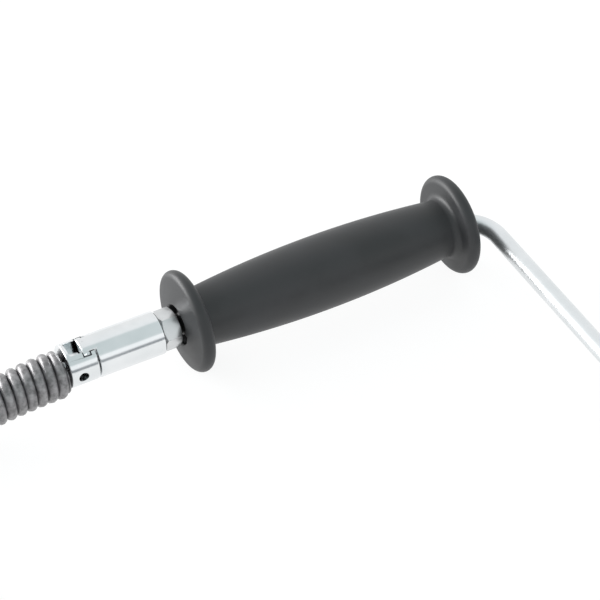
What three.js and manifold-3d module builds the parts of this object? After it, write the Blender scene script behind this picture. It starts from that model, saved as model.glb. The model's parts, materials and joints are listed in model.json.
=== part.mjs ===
// A hand-cranked drain spiral: a Z-shaped crank with two turning grips drives a coiled steel
// spiral through a T-slot coupling. Millimetres, +Z up. The crank lies flat on a table, and the
// spiral runs down to the table and is wound into a coil beside it.
//
// Everything is placed in the tool frame first: X runs along the front grip's axis, from the
// spiral to the crank's bend, with x = 0 at the grip's front face, y = 0 on its axis and z = 0
// on the table. The last lines move the origin to the middle of the crank's footprint.
import * as THREE from 'three';
import { mergeVertices } from 'three/addons/utils/BufferGeometryUtils.js';
import Module from 'manifold-3d';

const wasm = await Module();
wasm.setup();

// ---- clearances ----
const seatGap = 0.3; // between faces that rest on each other
const runGap = 0.35; // round a piece that turns or slides

// ---- grips ----
const gripLength = 114;
const flangeRadius = 19;
const flangeThickness = 5.1;
const gripNeckRadius = 10.9;
const gripBellyRadius = 13.7;
const gripFilletRadius = 2.5;
const gripHubRise = 1.6; // how far the face stands out round the recess
const recessRadius = 7.4;
const recessDepth = 3.2; // below the flange's rim
const recessEdge = 0.8;

// ---- crank rod ----
const rodRadius = 3.45;
const threadRadius = 4;
const boreClearance = 0.4; // between a grip and the rod it turns on
const gripBoreRadius = Math.max(rodRadius, threadRadius) + boreClearance;
const bendRadius = 14; // of the rod's centre line
const bendInset = 4; // how far inside a grip's recess the bend starts
const armThrow = 130; // between the two grip axes
const rodIntoCoupling = 8.95; // thread held in the coupling body

// ---- nuts, washers and stop rings ----
const nutAcrossFlats = 13;
const nutThickness = 6.3;
const nutChamfer = 1;
const nutCornerAngle = 108; // degrees from +Y towards +Z
const nutToGrip = 2.6;
const nutToCoupling = seatGap;
const washerRadius = 6.8;
const washerThickness = 1.4;
const stopRingRadius = 6.6;
const stopRingThickness = 1.2;
const endNutHexThickness = 6;
const endNutCollarRadius = 6;
const endNutCollarLength = 2.2;
const insertThickness = 1.4;
const insertRadius = 5.2;
const threadProud = 2; // of the rear nut

// ---- T-slot coupling, both halves, along x from their parting plane ----
const couplingRadius = 8;
const couplingChamfer = 0.5;
const partingGap = 0.5;
const neckLength = 2.4;
const neckHalfWidth = 3.6;
const headThickness = 2.5;
const headHalfWidth = 4.7;
const slotClearance = 0.3;
const socketLength = 10.6;
const pocketHalfWidth = 3.3;
const pocketFloor = 4.2; // above the axis
const pocketEndWall = 1.4;
const releaseHoleRadius = 1.85;
const releaseHoleInset = 1.9; // from the T-head's face to the hole's centre
const plungerSocketDepth = 3.6;
const frontBodyLength = 25.15;
const tailBodyLength = 17.5;
const shankRadius = 1.7;
const shankLength = 3;

// ---- lock plunger and its spring ----
const plungerRadius = 2.5;
const plungerTipRadius = 1;
const plungerTipLength = 1.8;
const plungerReach = 3; // past the T-head
const plungerShoulderRadius = 3.2;
const plungerShoulderLength = 3;
const chamberStart = 1.05;
const lockSpringRadius = 2.6; // to the wire's centre
const lockSpringWire = 0.35; // wire radius
const frontSpringTurns = 8;
const tailSpringTurns = 4;

// ---- spiral, coil and auger ----
const spiralRadius = 8.3;
const spiralBore = 4.75;
const strandPitch = 16.9; // between the turns that lie side by side in the coil
const coilRadius = 94; // to the middle of the bundle
const coilHalfSize = 16.8; // of the bundle's section
const coilCornerRadius = 8;
const coilCentre = [-222, -68];
const tieThickness = 1.2;
const tieWidth = 4.8;
const tieHead = [5, 7, 6]; // across the band, round the coil, upright
const tieAngles = [10, 110, 200, 300]; // degrees from +X, seen from above
const augerLength = 46;
const augerBellyRadius = 9.6;
const augerTipRadius = 4.5;

const axisHeight = flangeRadius;
const partingX = -nutToGrip - nutThickness - nutToCoupling - frontBodyLength - partingGap / 2;
const rodFrontX = -nutToGrip - nutThickness - nutToCoupling - rodIntoCoupling;
const armX = gripLength - bendInset + bendRadius;
const rearGripX = armX + bendRadius - bendInset;
const rearNutX = rearGripX + gripLength + nutToGrip;
const rodRearX = rearNutX + endNutHexThickness + endNutCollarLength + threadProud;
const coilBase = tieThickness + runGap + 0.05;
const coilMiddle = coilBase + coilHalfSize;
const strandHeight = coilMiddle - strandPitch / 2;

// The spiral's way from its coupling down to the table and on to the coil.
const runPoints = [
  [-45.7, 0, 16.6], [-49, 0, 16.5], [-53, 0, 16.3], [-58, 0, 15.9], [-64, 0, 15.3],
  [-70, 0, 14.5], [-78, 0.1, 13.2], [-87, 0.6, 11.7], [-97, 1.9, 10.3], [-107, 4, 9.3],
  [-118, 6.9, 8.7], [-125, 9.1, 8.5], [-132, 11.3, 8.5],
];
// Its free end, out of the coil's inner turn and straight on to the auger.
const tailPoints = [
  [-227.3, -135.8, 9.95], [-223.7, -133.85, 9.95], [-220.35, -131.65, 9.95],
  [-217.1, -129.15, 9.95], [-213.25, -125.95, 9.95], [-209.45, -122.7, 9.95],
];
const tailHeading = 40; // degrees from +X, the way that the free end points

// ---- materials ----
const zinc = new THREE.MeshStandardMaterial({ color: 0xc9ced1, roughness: 0.3, metalness: 1 });
const springSteel = new THREE.MeshStandardMaterial({ color: 0x6d6e70, roughness: 0.5, metalness: 0.9 });
const gripPlastic = new THREE.MeshStandardMaterial({ color: 0x2d2f32, roughness: 0.55, metalness: 0 });
const nylon = new THREE.MeshStandardMaterial({ color: 0x17181a, roughness: 0.5, metalness: 0 });

// ---- shape helpers ----
function facingOut(geometry) {
  const bare = geometry.clone();
  bare.deleteAttribute('normal');
  bare.deleteAttribute('uv');
  const merged = mergeVertices(bare, 1e-3);
  const position = merged.attributes.position;
  const index = merged.index.array;
  const corner = [0, 1, 2].map(() => new THREE.Vector3());
  let volume = 0;
  for (let i = 0; i < index.length; i += 3) {
    corner.forEach((point, k) => point.fromBufferAttribute(position, index[i + k]));
    volume += corner[0].dot(corner[1].clone().cross(corner[2]));
  }
  if (volume < 0) {
    for (let i = 0; i < index.length; i += 3) [index[i], index[i + 1]] = [index[i + 1], index[i]];
  }
  return merged;
}

function solidOf(geometry) {
  const closed = facingOut(geometry);
  const vertProperties = new Float32Array(closed.attributes.position.array);
  const triVerts = new Uint32Array(closed.index.array);
  return new wasm.Manifold(new wasm.Mesh({ numProp: 3, vertProperties, triVerts }));
}

function geometryOf(solid) {
  const { vertProperties, triVerts } = solid.getMesh();
  const geometry = new THREE.BufferGeometry();
  geometry.setAttribute('position', new THREE.BufferAttribute(vertProperties, 3));
  geometry.setIndex(new THREE.BufferAttribute(triVerts, 1));
  return geometry;
}

function arc(x, r, radius, from, to, steps) {
  return Array.from({ length: steps + 1 }, (_, i) => {
    const angle = THREE.MathUtils.degToRad(from + ((to - from) * i) / steps);
    return [x + radius * Math.cos(angle), r + radius * Math.sin(angle)];
  });
}

// A profile of [x, radius] points turned about the X axis.
function turned(profile, sides = 28) {
  const points = profile.map(([x, r]) => new THREE.Vector2(r, x));
  return facingOut(new THREE.LatheGeometry(points, sides).rotateZ(-Math.PI / 2));
}

function ring(from, to, inner, outer, sides = 24) {
  return turned([[from, inner], [from, outer], [to, outer], [to, inner], [from, inner]], sides);
}

function rod(from, to, radius, chamfer = 0, sides = 28) {
  const nose = chamfer ? [[from, radius - chamfer], [from + chamfer, radius]] : [[from, radius]];
  const tail = chamfer ? [[to - chamfer, radius], [to, radius - chamfer]] : [[to, radius]];
  return turned([[from, 0], ...nose, ...tail, [to, 0]], sides);
}

// A shape drawn in Y and Z, extruded along X.
function slab(shape, from, to) {
  const geometry = new THREE.ExtrudeGeometry(shape, {
    depth: to - from, bevelEnabled: false, curveSegments: 8,
  });
  const axes = [new THREE.Vector3(0, 1, 0), new THREE.Vector3(0, 0, 1), new THREE.Vector3(1, 0, 0)];
  geometry.applyMatrix4(new THREE.Matrix4().makeBasis(...axes));
  return geometry.translate(from, 0, 0);
}

// A way through given stations, with one section of a swept piece at each of them.
class Route extends THREE.Curve {
  constructor(points) {
    super();
    this.points = points.map((point) => new THREE.Vector3(...point));
  }

  getPoint(t) {
    const place = t * (this.points.length - 1);
    const first = Math.min(Math.floor(place), this.points.length - 2);
    return this.points[first].clone().lerp(this.points[first + 1], place - first);
  }

  getPointAt(u) {
    return this.getPoint(u);
  }

  getTangentAt(u) {
    const here = Math.round(u * (this.points.length - 1));
    const direction = (i) => this.points[i + 1].clone().sub(this.points[i]).normalize();
    const before = direction(Math.max(here - 1, 0));
    const after = direction(Math.min(here, this.points.length - 2));
    return before.add(after).normalize();
  }
}

function circle(radius, sides) {
  return Array.from({ length: sides }, (_, i) => {
    const angle = (i * 2 * Math.PI) / sides;
    return new THREE.Vector2(radius * Math.cos(angle), radius * Math.sin(angle));
  });
}

function swept(points, radius, sides, bore = 0) {
  const section = new THREE.Shape(circle(radius, sides));
  if (bore) section.holes.push(new THREE.Path(circle(bore, sides).reverse()));
  const geometry = new THREE.ExtrudeGeometry(section, {
    steps: points.length - 1, extrudePath: new Route(points),
  });
  return facingOut(geometry);
}

// ---- scene graph ----
const tool = new THREE.Group();

function add(group, name, geometry, material, x = 0) {
  const mesh = new THREE.Mesh(geometry, material);
  mesh.name = name;
  mesh.position.x = x;
  group.add(mesh);
}

// ---- grips ----
function gripGeometry() {
  const rim = flangeThickness / 2;
  const rimR = flangeRadius - rim;
  const filletX = flangeThickness + gripFilletRadius;
  const filletR = gripNeckRadius + gripFilletRadius;
  const half = gripLength / 2;
  const bulge = gripBellyRadius - gripNeckRadius;
  const belly = [];
  for (let i = 1; i < 8; i += 1) {
    const u = i / 4 - 1;
    belly.push([half + u * (half - filletX), gripNeckRadius + bulge * (1 - u * u)]);
  }
  const outside = [
    [-gripHubRise, recessRadius + recessEdge],
    ...arc(rim, rimR, rim, 180, 0, 8),
    ...arc(filletX, filletR, gripFilletRadius, 180, 270, 3),
    ...belly,
    ...arc(gripLength - filletX, filletR, gripFilletRadius, 270, 360, 3),
    ...arc(gripLength - rim, rimR, rim, 180, 0, 8),
    [gripLength + gripHubRise, recessRadius + recessEdge],
  ];
  const inside = [
    [gripLength + gripHubRise - recessEdge, recessRadius], [gripLength - recessDepth, recessRadius],
    [gripLength - recessDepth, gripBoreRadius], [recessDepth, gripBoreRadius],
    [recessDepth, recessRadius], [recessEdge - gripHubRise, recessRadius],
  ];
  return turned([...outside, ...inside, outside[0]], 32);
}

// ---- nuts and washers ----
function hexagon(from, to, acrossFlats, cornerAngle) {
  const corners = circle(acrossFlats / Math.sqrt(3), 6);
  const turn = THREE.MathUtils.degToRad(cornerAngle);
  corners.forEach((corner) => corner.rotateAround(new THREE.Vector2(), turn));
  return slab(new THREE.Shape(corners), from, to);
}

function nutSolid(from, to, chamferBack) {
  const corner = nutAcrossFlats / Math.sqrt(3);
  const face = corner - nutChamfer;
  const slope = nutChamfer * Math.tan(Math.PI / 6);
  const back = chamferBack ? [[to - slope, corner], [to, face]] : [[to, corner]];
  const envelope = turned([[from, 0], [from, face], [from + slope, corner], ...back, [to, 0]], 36);
  const hex = hexagon(from - 1, to + 1, nutAcrossFlats, nutCornerAngle);
  return solidOf(envelope).intersect(solidOf(hex));
}

function lockNutGeometry() {
  const bore = rod(-1, nutThickness + 1, threadRadius + seatGap);
  return geometryOf(nutSolid(0, nutThickness, true).subtract(solidOf(bore)));
}

function endNutGeometry() {
  const end = endNutHexThickness + endNutCollarLength;
  const collar = rod(endNutHexThickness - 1, end, endNutCollarRadius, 0.6);
  const bore = rod(-1, end + 1, threadRadius + seatGap);
  const pocket = rod(end - insertThickness - seatGap, end + 1, insertRadius + seatGap);
  const body = nutSolid(0, endNutHexThickness, false).add(solidOf(collar));
  return geometryOf(body.subtract(solidOf(bore)).subtract(solidOf(pocket)));
}

// ---- crank rod ----
function bend(x, y, from, to) {
  return arc(x, y, bendRadius, from, to, 7).map(([px, py]) => [px, py, 0]);
}

function crankRodGeometry() {
  const straight = [
    [rodFrontX + 1, 0, 0],
    ...bend(armX - bendRadius, -bendRadius, 90, 0),
    ...bend(armX + bendRadius, bendRadius - armThrow, 180, 270),
    [rodRearX - 1, -armThrow, 0],
  ];
  const frontThread = rod(rodFrontX, recessDepth, threadRadius, 0.7, 20);
  const rearThread = rod(rearNutX - nutToGrip - recessDepth, rodRearX, threadRadius, 0.7, 20);
  rearThread.translate(0, -armThrow, 0);
  const body = solidOf(swept(straight, rodRadius, 16));
  return geometryOf(body.add(solidOf(frontThread)).add(solidOf(rearThread)));
}

// ---- T-slot coupling ----
// The outline of a T-head, or of its slot when it runs on past the coupling's rim.
function tongue(halfWidth, topRadius) {
  const shape = new THREE.Shape();
  const side = Math.sqrt(topRadius ** 2 - halfWidth ** 2);
  const tilt = Math.asin(halfWidth / topRadius);
  shape.moveTo(halfWidth, side);
  shape.absarc(0, 0, topRadius, Math.PI / 2 - tilt, Math.PI / 2 + tilt, false);
  shape.lineTo(-halfWidth, 0);
  shape.absarc(0, 0, halfWidth, Math.PI, 2 * Math.PI, false);
  shape.closePath();
  return shape;
}

const headFrontX = partingGap / 2 - neckLength - headThickness;
const headBackX = partingGap / 2 - neckLength;
const cutRadius = couplingRadius + 2;

function maleCouplingGeometry(bodyLength, chamberEnd) {
  const front = partingGap / 2;
  const rear = front + bodyLength;
  const body = solidOf(rod(front, rear, couplingRadius, couplingChamfer));
  const neck = solidOf(slab(tongue(neckHalfWidth, couplingRadius - 0.05), headBackX - 0.5, front + 1));
  const head = solidOf(slab(tongue(headHalfWidth, couplingRadius - 0.05), headFrontX, headBackX));
  const plungerBore = solidOf(rod(headFrontX - 1, chamberStart + 1, plungerRadius + runGap));
  const chamber = solidOf(rod(chamberStart, chamberEnd + 1, plungerShoulderRadius + runGap));
  const threadBore = solidOf(rod(chamberEnd - seatGap, rear + 1, threadRadius + seatGap));
  const solid = body.add(neck).add(head);
  return geometryOf(solid.subtract(plungerBore).subtract(chamber).subtract(threadBore));
}

function femaleCouplingGeometry() {
  const front = -partingGap / 2;
  const rear = front - socketLength;
  const slotRear = headFrontX - slotClearance;
  const releaseX = headFrontX - releaseHoleInset;
  const body = solidOf(rod(rear, front, couplingRadius, couplingChamfer));
  const shank = solidOf(rod(rear - shankLength, rear + 1, shankRadius, 0.4, 16));
  const neckSlot = slab(tongue(neckHalfWidth + slotClearance, cutRadius), headBackX, front + 1);
  const headSlot = slab(
    tongue(headHalfWidth + slotClearance, cutRadius), slotRear, headBackX + slotClearance);
  const plungerSocket = rod(
    headFrontX - plungerSocketDepth, slotRear + 1, plungerRadius + runGap);
  const pocketLength = slotRear - rear - pocketEndWall;
  const pocket = new THREE.BoxGeometry(pocketLength + 1, 2 * pocketHalfWidth, cutRadius);
  pocket.translate(slotRear - pocketLength / 2 + 0.5, 0, pocketFloor + cutRadius / 2);
  const releaseHole = new THREE.CylinderGeometry(
    releaseHoleRadius, releaseHoleRadius, cutRadius, 18);
  releaseHole.translate(releaseX, -cutRadius / 2, 0);
  return geometryOf([neckSlot, headSlot, plungerSocket, pocket, releaseHole]
    .reduce((solid, cut) => solid.subtract(solidOf(cut)), body.add(shank)));
}

function plungerGeometry() {
  const tip = headFrontX - plungerReach;
  const shoulder = chamberStart + seatGap;
  return turned([
    [tip, 0], [tip, plungerTipRadius], [tip + plungerTipLength, plungerRadius],
    [shoulder, plungerRadius], [shoulder, plungerShoulderRadius],
    [shoulder + plungerShoulderLength, plungerShoulderRadius], [shoulder + plungerShoulderLength, 0],
  ], 24);
}

function lockSpringGeometry(end, turns) {
  const start = chamberStart + 2 * seatGap + plungerShoulderLength + lockSpringWire;
  const rise = end - seatGap - lockSpringWire - start;
  const stepsPerTurn = 9;
  const points = Array.from({ length: turns * stepsPerTurn + 1 }, (_, i) => {
    const angle = (i * 2 * Math.PI) / stepsPerTurn;
    const x = start + (rise * i) / (turns * stepsPerTurn);
    return [x, lockSpringRadius * Math.cos(angle), lockSpringRadius * Math.sin(angle)];
  });
  return swept(points, lockSpringWire, 5);
}

// ---- coil, ties and auger ----
function coilGeometry() {
  const flat = coilHalfSize - coilCornerRadius;
  const corners = [[1, 1, 0], [-1, 1, 90], [-1, -1, 180], [1, -1, 270]];
  const section = corners.flatMap(([u, v, from]) =>
    arc(coilRadius + u * flat, coilMiddle + v * flat, coilCornerRadius, from, from + 90, 3));
  const points = [...section, section[0]].map(([r, z]) => new THREE.Vector2(r, z));
  return facingOut(new THREE.LatheGeometry(points, 44).rotateX(Math.PI / 2));
}

function roundedSquare(path, half, radius) {
  const flat = half - radius;
  path.moveTo(half, -flat);
  path.absarc(flat, flat, radius, 0, Math.PI / 2, false);
  path.absarc(-flat, flat, radius, Math.PI / 2, Math.PI, false);
  path.absarc(-flat, -flat, radius, Math.PI, 1.5 * Math.PI, false);
  path.absarc(flat, -flat, radius, 1.5 * Math.PI, 2 * Math.PI, false);
  return path;
}

function tieGeometry() {
  const inner = coilHalfSize + runGap;
  const outer = inner + tieThickness;
  const shape = roundedSquare(new THREE.Shape(), outer, coilCornerRadius + tieThickness);
  shape.holes.push(roundedSquare(new THREE.Path(), inner, coilCornerRadius));
  const band = new THREE.ExtrudeGeometry(shape, {
    depth: tieWidth, bevelEnabled: false, curveSegments: 3,
  });
  band.translate(0, 0, -tieWidth / 2).rotateX(Math.PI / 2);
  const head = new THREE.BoxGeometry(...tieHead);
  head.translate(inner + tieHead[0] / 2 + 0.1, 0, 0);
  return geometryOf(solidOf(band).add(solidOf(head))).translate(coilRadius, 0, coilMiddle);
}

function augerGeometry() {
  const front = -partingGap / 2 - socketLength - seatGap;
  const end = front - augerLength;
  const outside = [[front, couplingRadius]];
  for (let i = 1; i < 8; i += 1) {
    const u = i / 8;
    const swell = augerBellyRadius - couplingRadius * (1 - u) - augerTipRadius * u;
    const base = couplingRadius * (1 - u) + augerTipRadius * u;
    outside.push([front + (end - front) * u, base + swell * Math.sin(Math.PI * u)]);
  }
  const boreEnd = front - shankLength;
  const bore = shankRadius + seatGap;
  return turned([
    [boreEnd, 0], [boreEnd, bore], [front, bore], ...outside, [end, augerTipRadius], [end, 0],
  ], 24);
}

// ---- crank ----
const crank = new THREE.Group();
crank.position.z = axisHeight;
tool.add(crank);
const rearAxis = new THREE.Group();
rearAxis.position.y = -armThrow;
crank.add(rearAxis);

add(crank, 'crank_rod', crankRodGeometry(), zinc);
add(crank, 'lock_nut', lockNutGeometry(), zinc, -nutToGrip - nutThickness);
const washer = ring(0, washerThickness, threadRadius + seatGap, washerRadius, 28);
const stopRing = ring(0, stopRingThickness, rodRadius + seatGap, stopRingRadius, 24);
const washerInset = recessDepth - seatGap - washerThickness;
const stopRingInset = gripLength - recessDepth + seatGap;
add(crank, 'front_washer', washer, nylon, washerInset);
add(crank, 'front_stop_ring', stopRing, zinc, stopRingInset);
add(crank, 'front_grip', gripGeometry(), gripPlastic);
add(rearAxis, 'rear_stop_ring', stopRing, zinc, rearGripX + recessDepth - seatGap - stopRingThickness);
add(rearAxis, 'rear_grip', gripGeometry(), gripPlastic, rearGripX);
add(rearAxis, 'rear_washer', washer, nylon, rearGripX + gripLength - recessDepth + seatGap);
add(rearAxis, 'rear_nut', endNutGeometry(), zinc, rearNutX);
const insertX = rearNutX + endNutHexThickness + endNutCollarLength - insertThickness;
const insert = ring(0, insertThickness, threadRadius + seatGap, insertRadius, 24);
add(rearAxis, 'rear_nut_insert', insert, nylon, insertX);

// ---- couplings ----
// Both halves, closed on each other, with the male half's lock plunger and spring.
function coupling(names, bodyLength, chamberEnd, springTurns) {
  const group = new THREE.Group();
  add(group, names.body, maleCouplingGeometry(bodyLength, chamberEnd), zinc);
  add(group, names.plunger, plungerGeometry(), zinc);
  add(group, names.spring, lockSpringGeometry(chamberEnd, springTurns), springSteel);
  add(group, names.socket, femaleCouplingGeometry(), zinc);
  return group;
}

const frontChamberEnd = rodFrontX - partingX;
const frontCoupling = coupling({
  body: 'drive_coupling', plunger: 'drive_lock_plunger',
  spring: 'drive_lock_spring', socket: 'spiral_socket',
}, frontBodyLength, frontChamberEnd, frontSpringTurns);
frontCoupling.position.set(partingX, 0, axisHeight);
tool.add(frontCoupling);

// ---- spiral ----
add(tool, 'spiral_run', swept(runPoints, spiralRadius, 12, spiralBore), springSteel);
add(tool, 'spiral_coil', coilGeometry().translate(...coilCentre, 0), springSteel);
add(tool, 'spiral_tail', swept(tailPoints, spiralRadius, 12, spiralBore), springSteel);
tieAngles.forEach((angle, i) => {
  const tie = tieGeometry().rotateZ(THREE.MathUtils.degToRad(angle));
  add(tool, `coil_tie_${i + 1}`, tie.translate(...coilCentre, 0), nylon);
});

// ---- free end: coupling, screwed shank and auger, straight on from the tail ----
const tailEnd = tailPoints[tailPoints.length - 1];
const tailChamberEnd = tailBodyLength - 7;
const freeEnd = coupling({
  body: 'tail_coupling', plunger: 'tail_lock_plunger',
  spring: 'tail_lock_spring', socket: 'auger_socket',
}, tailBodyLength, tailChamberEnd, tailSpringTurns);
const tailRear = partingGap / 2 + tailBodyLength;
const shankThread = rod(tailChamberEnd, tailRear + 1, threadRadius, 0.4, 24);
const tailShank = rod(tailRear + seatGap, tailRear + shankLength, shankRadius, 0.4, 16);
add(freeEnd, 'tail_shank', geometryOf(solidOf(shankThread).add(solidOf(tailShank))), zinc);
add(freeEnd, 'auger', augerGeometry(), springSteel);
const heading = THREE.MathUtils.degToRad(tailHeading);
const ahead = new THREE.Vector3(Math.cos(heading), Math.sin(heading), 0);
freeEnd.rotation.z = heading + Math.PI;
freeEnd.position.set(...tailEnd).addScaledVector(ahead, seatGap + tailRear);
tool.add(freeEnd);

// ---- origin: the middle of the crank's footprint, on the table ----
const crankFrontX = partingX + headFrontX - plungerReach;
tool.position.set(-(crankFrontX + rodRearX) / 2, armThrow / 2, 0);
const drainSpiral = new THREE.Group();
drainSpiral.add(tool);

export default drainSpiral;
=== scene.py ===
# Looks of the hand-cranked drain spiral: grips, crank rod, nuts, couplings, spiral and auger.
import json
from math import cos, pi, radians, sin, sqrt, tan

import bmesh
import bpy
from mathutils import Matrix, Vector


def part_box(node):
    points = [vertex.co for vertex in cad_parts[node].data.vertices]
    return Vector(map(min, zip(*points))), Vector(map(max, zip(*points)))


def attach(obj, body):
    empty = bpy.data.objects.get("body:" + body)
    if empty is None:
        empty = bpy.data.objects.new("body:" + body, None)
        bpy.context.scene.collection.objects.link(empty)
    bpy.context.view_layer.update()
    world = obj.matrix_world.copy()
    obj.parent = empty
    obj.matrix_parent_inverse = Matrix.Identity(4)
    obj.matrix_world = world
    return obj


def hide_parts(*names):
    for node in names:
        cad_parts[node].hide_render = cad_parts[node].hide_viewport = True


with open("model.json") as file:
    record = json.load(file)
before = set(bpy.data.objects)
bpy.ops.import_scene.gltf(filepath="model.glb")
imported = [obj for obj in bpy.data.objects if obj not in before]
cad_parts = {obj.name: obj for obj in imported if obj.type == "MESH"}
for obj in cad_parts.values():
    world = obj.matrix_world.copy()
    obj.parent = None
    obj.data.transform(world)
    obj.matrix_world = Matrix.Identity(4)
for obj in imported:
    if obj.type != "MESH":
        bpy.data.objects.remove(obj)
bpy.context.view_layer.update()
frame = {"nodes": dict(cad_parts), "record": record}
mm = 0.001

# The tool frame, in mm: x from the front grip's rim, y from its axis, z from the table.
gripLow, gripHigh = (Vector(corner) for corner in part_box("front_grip"))
rearLow, rearHigh = (Vector(corner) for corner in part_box("rear_grip"))
hubRise = 1.6  # how far a grip's face stands out round its recess
origin = Vector((gripLow.x + hubRise * mm, (gripLow.y + gripHigh.y) / 2, 0))
axisHeight = (gripLow.z + gripHigh.z) / 2 / mm
gripLength = (gripHigh.x - gripLow.x) / mm - 2 * hubRise
rearAxisY = ((rearLow.y + rearHigh.y) / 2 - origin.y) / mm


def toolPoint(x, y, z):
    return origin + Vector((x, y, z)) * mm


def toolX(node, side):
    # The x of a node's low (0) or high (1) end, in mm in the tool frame.
    return (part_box(node)[side][0] - origin.x) / mm


cameraSet = {
    "place": (-238.6, -502.1, 567.9),
    "azimuth": -29.73,
    "elevation": 44.04,
    "roll": 1.23,
    "lens": 132.64,
}


def makeCamera(c):
    data = bpy.data.cameras.new("camera")
    data.lens = c["lens"]
    data.sensor_width = 36
    data.clip_start = 0.01
    camera = bpy.data.objects.new("camera", data)
    turn = (
        Matrix.Rotation(radians(c["azimuth"]), 4, "Z")
        @ Matrix.Rotation(radians(90 - c["elevation"]), 4, "X")
        @ Matrix.Rotation(radians(c["roll"]), 4, "Z")
    )
    camera.matrix_world = Matrix.Translation(toolPoint(*c["place"])) @ turn
    bpy.context.collection.objects.link(camera)
    bpy.context.scene.camera = camera


makeCamera(cameraSet)
print("camera placed")


def newMaterial(name):
    material = bpy.data.materials.new(name)
    material.use_nodes = True
    tree = material.node_tree
    return material, tree, tree.nodes["Principled BSDF"]


def link(tree, source, output, target, socket):
    tree.links.new(source.outputs[output], target.inputs[socket])


def objectNoise(tree, scale, detail=4, stretch=(1, 1, 1), rough=0.55):
    place = tree.nodes.new("ShaderNodeTexCoord")
    turn = tree.nodes.new("ShaderNodeMapping")
    turn.inputs["Scale"].default_value = stretch
    noise = tree.nodes.new("ShaderNodeTexNoise")
    noise.inputs["Scale"].default_value = scale
    noise.inputs["Detail"].default_value = detail
    noise.inputs["Roughness"].default_value = rough
    link(tree, place, "Object", turn, "Vector")
    link(tree, turn, "Vector", noise, "Vector")
    return noise


def spread(tree, source, low, high, output="Fac", fromLow=0.3, fromHigh=0.7):
    ramp = tree.nodes.new("ShaderNodeMapRange")
    ramp.inputs["From Min"].default_value = fromLow
    ramp.inputs["From Max"].default_value = fromHigh
    ramp.inputs["To Min"].default_value = low
    ramp.inputs["To Max"].default_value = high
    link(tree, source, output, ramp, "Value")
    return ramp


def tint(tree, source, dark, light, output="Fac", low=0.35, high=0.65):
    ramp = tree.nodes.new("ShaderNodeValToRGB")
    ramp.color_ramp.elements[0].position = low
    ramp.color_ramp.elements[0].color = (*dark, 1)
    ramp.color_ramp.elements[1].position = high
    ramp.color_ramp.elements[1].color = (*light, 1)
    link(tree, source, output, ramp, "Fac")
    return ramp


def bump(tree, shader, source, strength, distance, output="Fac"):
    node = tree.nodes.new("ShaderNodeBump")
    node.inputs["Strength"].default_value = strength
    node.inputs["Distance"].default_value = distance
    link(tree, source, output, node, "Height")
    link(tree, node, "Normal", shader, "Normal")


gripFinish = {
    "dark": (0.020, 0.021, 0.022), "light": (0.028, 0.029, 0.031), "rough": (0.43, 0.53),
    "cloud": 60, "grain": 2600, "grainStrength": 0.12, "grainDepth": 0.0001,
}


def makeGripPlastic(c):
    material, tree, shader = newMaterial("gripPlastic")
    cloud = objectNoise(tree, c["cloud"], 3)
    colour = tint(tree, cloud, c["dark"], c["light"])
    link(tree, colour, "Color", shader, "Base Color")
    link(tree, spread(tree, cloud, *c["rough"]), "Result", shader, "Roughness")
    grain = objectNoise(tree, c["grain"], 2)
    bump(tree, shader, grain, c["grainStrength"], c["grainDepth"])
    return material


zincFinish = {
    "dark": (0.73, 0.755, 0.765), "light": (0.80, 0.815, 0.825), "rough": (0.12, 0.19),
    "cloud": 90, "lines": 500, "lineStrength": 0.08, "lineDepth": 0.00006,
}
dullZinc = {
    **zincFinish,
    "dark": (0.60, 0.615, 0.62), "light": (0.68, 0.69, 0.695), "rough": (0.28, 0.4),
}
drawnZinc = {**zincFinish, "rough": (0.34, 0.44)}


def makeZinc(c, name, stretch=(1, 1, 1)):
    material, tree, shader = newMaterial(name)
    shader.inputs["Metallic"].default_value = 1
    cloud = objectNoise(tree, c["cloud"], 4)
    colour = tint(tree, cloud, c["dark"], c["light"])
    link(tree, colour, "Color", shader, "Base Color")
    link(tree, spread(tree, cloud, *c["rough"]), "Result", shader, "Roughness")
    lines = objectNoise(tree, c["lines"], 3, stretch)
    bump(tree, shader, lines, c["lineStrength"], c["lineDepth"])
    return material


# Painted shade: the colour given to the rod's threads where the grips' recesses shade them.
recessShade = (0.10, 0.10, 0.10)


def paintThreadShade(material, colour, low, high):
    # Painted shade: the threads below low and above high, where they run into the grips' recesses,
    # get a darker colour that stands in for the shadow there.
    tree = material.node_tree
    shader = tree.nodes["Principled BSDF"]
    place = tree.nodes.new("ShaderNodeTexCoord")
    split = tree.nodes.new("ShaderNodeSeparateXYZ")
    link(tree, place, "Object", split, "Vector")
    ends = []
    for side, limit in (("LESS_THAN", low), ("GREATER_THAN", high)):
        test = tree.nodes.new("ShaderNodeMath")
        test.operation = side
        test.inputs[1].default_value = limit
        tree.links.new(split.outputs["X"], test.inputs[0])
        ends.append(test)
    either = tree.nodes.new("ShaderNodeMath")
    for number, test in enumerate(ends):
        tree.links.new(test.outputs[0], either.inputs[number])
    unshaded = shader.inputs["Base Color"].links[0].from_socket
    mix = tree.nodes.new("ShaderNodeMix")
    mix.data_type = "RGBA"
    tree.links.new(either.outputs[0], mix.inputs["Factor"])
    tree.links.new(unshaded, mix.inputs["A"])
    mix.inputs["B"].default_value = (*colour, 1)
    tree.links.new(mix.outputs["Result"], shader.inputs["Base Color"])


wireFinish = {
    "dark": (0.16, 0.156, 0.159), "light": (0.38, 0.372, 0.378), "rough": (0.34, 0.5),
    "metal": 0.5, "cloud": 420, "pits": 1500, "pitStrength": 0.25, "pitDepth": 0.00012,
}


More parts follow.
